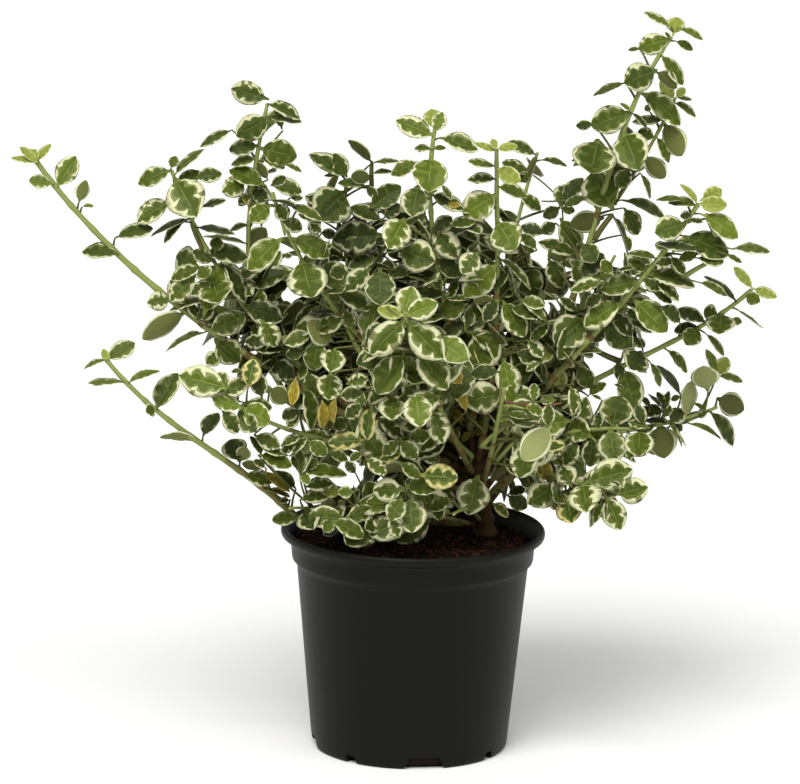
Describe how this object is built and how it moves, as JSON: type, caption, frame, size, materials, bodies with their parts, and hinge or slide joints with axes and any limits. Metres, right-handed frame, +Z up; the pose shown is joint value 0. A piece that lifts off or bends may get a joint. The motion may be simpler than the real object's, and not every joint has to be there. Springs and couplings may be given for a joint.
{
  "type": "potted variegated wintercreeper shrub",
  "caption": "Bushy evergreen shrub with small green leaves edged in cream, standing in a round black plastic nursery pot.",
  "frame": {"origin": "centre of the flat underside of the pot, on the ground it stands on", "axes": "+Z up along the pot's axis; -Y is the front, the side the picture shows; +X is to the right in the picture"},
  "size_m": [0.5353, 0.3236, 0.527],
  "materials": {
    "pot_plastic": "satin black injection-moulded polypropylene",
    "compost": "damp peaty compost with reddish bark fibres",
    "stem_bark": "smooth green young bark, browner and rough at the foot",
    "leaves": "waxy green leaves with cream margins, semi-gloss"
  },
  "bodies": {
    "root": {"bough_back_centre": "stem_bark", "bough_back_left": "stem_bark", "bough_back_low": "stem_bark", "bough_back_right": "stem_bark", "bough_back_right_top": "stem_bark", "bough_centre": "stem_bark", "bough_far_left": "stem_bark", "bough_far_left_2": "stem_bark", "bough_far_left_3": "stem_bark", "bough_far_right": "stem_bark", "bough_front_centre": "stem_bark", "bough_front_left": "stem_bark", "bough_front_right": "stem_bark", "bough_left_inner": "stem_bark", "bough_left_mid": "stem_bark", "bough_left_mid_2": "stem_bark", "bough_left_upper": "stem_bark", "bough_low_left": "stem_bark", "bough_low_left_2": "stem_bark", "bough_low_right": "stem_bark", "bough_low_right_front": "stem_bark", "bough_mid_left": "stem_bark", "bough_mid_right_front": "stem_bark", "bough_right": "stem_bark", "bough_right_centre": "stem_bark", "bough_runner": "stem_bark", "bough_tall_right": "stem_bark", "compost": "compost", "leaves_back_centre_crown": "leaves", "leaves_back_left_crown": "leaves", "leaves_back_low_crown": "leaves", "leaves_back_right_crown": "leaves", "leaves_back_right_top_crown": "leaves", "leaves_centre_crown": "leaves", "leaves_far_left_inner": "leaves", "leaves_far_left_pad": "leaves", "leaves_far_left_tip": "leaves", "leaves_far_right_crown": "leaves", "leaves_front_centre_crown": "leaves", "leaves_front_left_crown": "leaves", "leaves_front_right_crown": "leaves", "leaves_left_inner_crown": "leaves", "leaves_left_mid_inner": "leaves", "leaves_left_mid_top": "leaves", "leaves_left_upper_inner": "leaves", "leaves_left_upper_top": "leaves", "leaves_low_left_inner": "leaves", "leaves_low_left_tip": "leaves", "leaves_low_right_crown": "leaves", "leaves_low_right_front_crown": "leaves", "leaves_mid_left_crown": "leaves", "leaves_mid_right_front_crown": "leaves", "leaves_right_centre_crown": "leaves", "leaves_right_crown": "leaves", "leaves_second_tall_crown": "leaves", "leaves_skirt_front": "leaves", "leaves_tall_right_crown": "leaves", "leaves_tall_right_tip": "leaves", "main_stem": "stem_bark", "pot": "pot_plastic"}
  },
  "joints": []
}
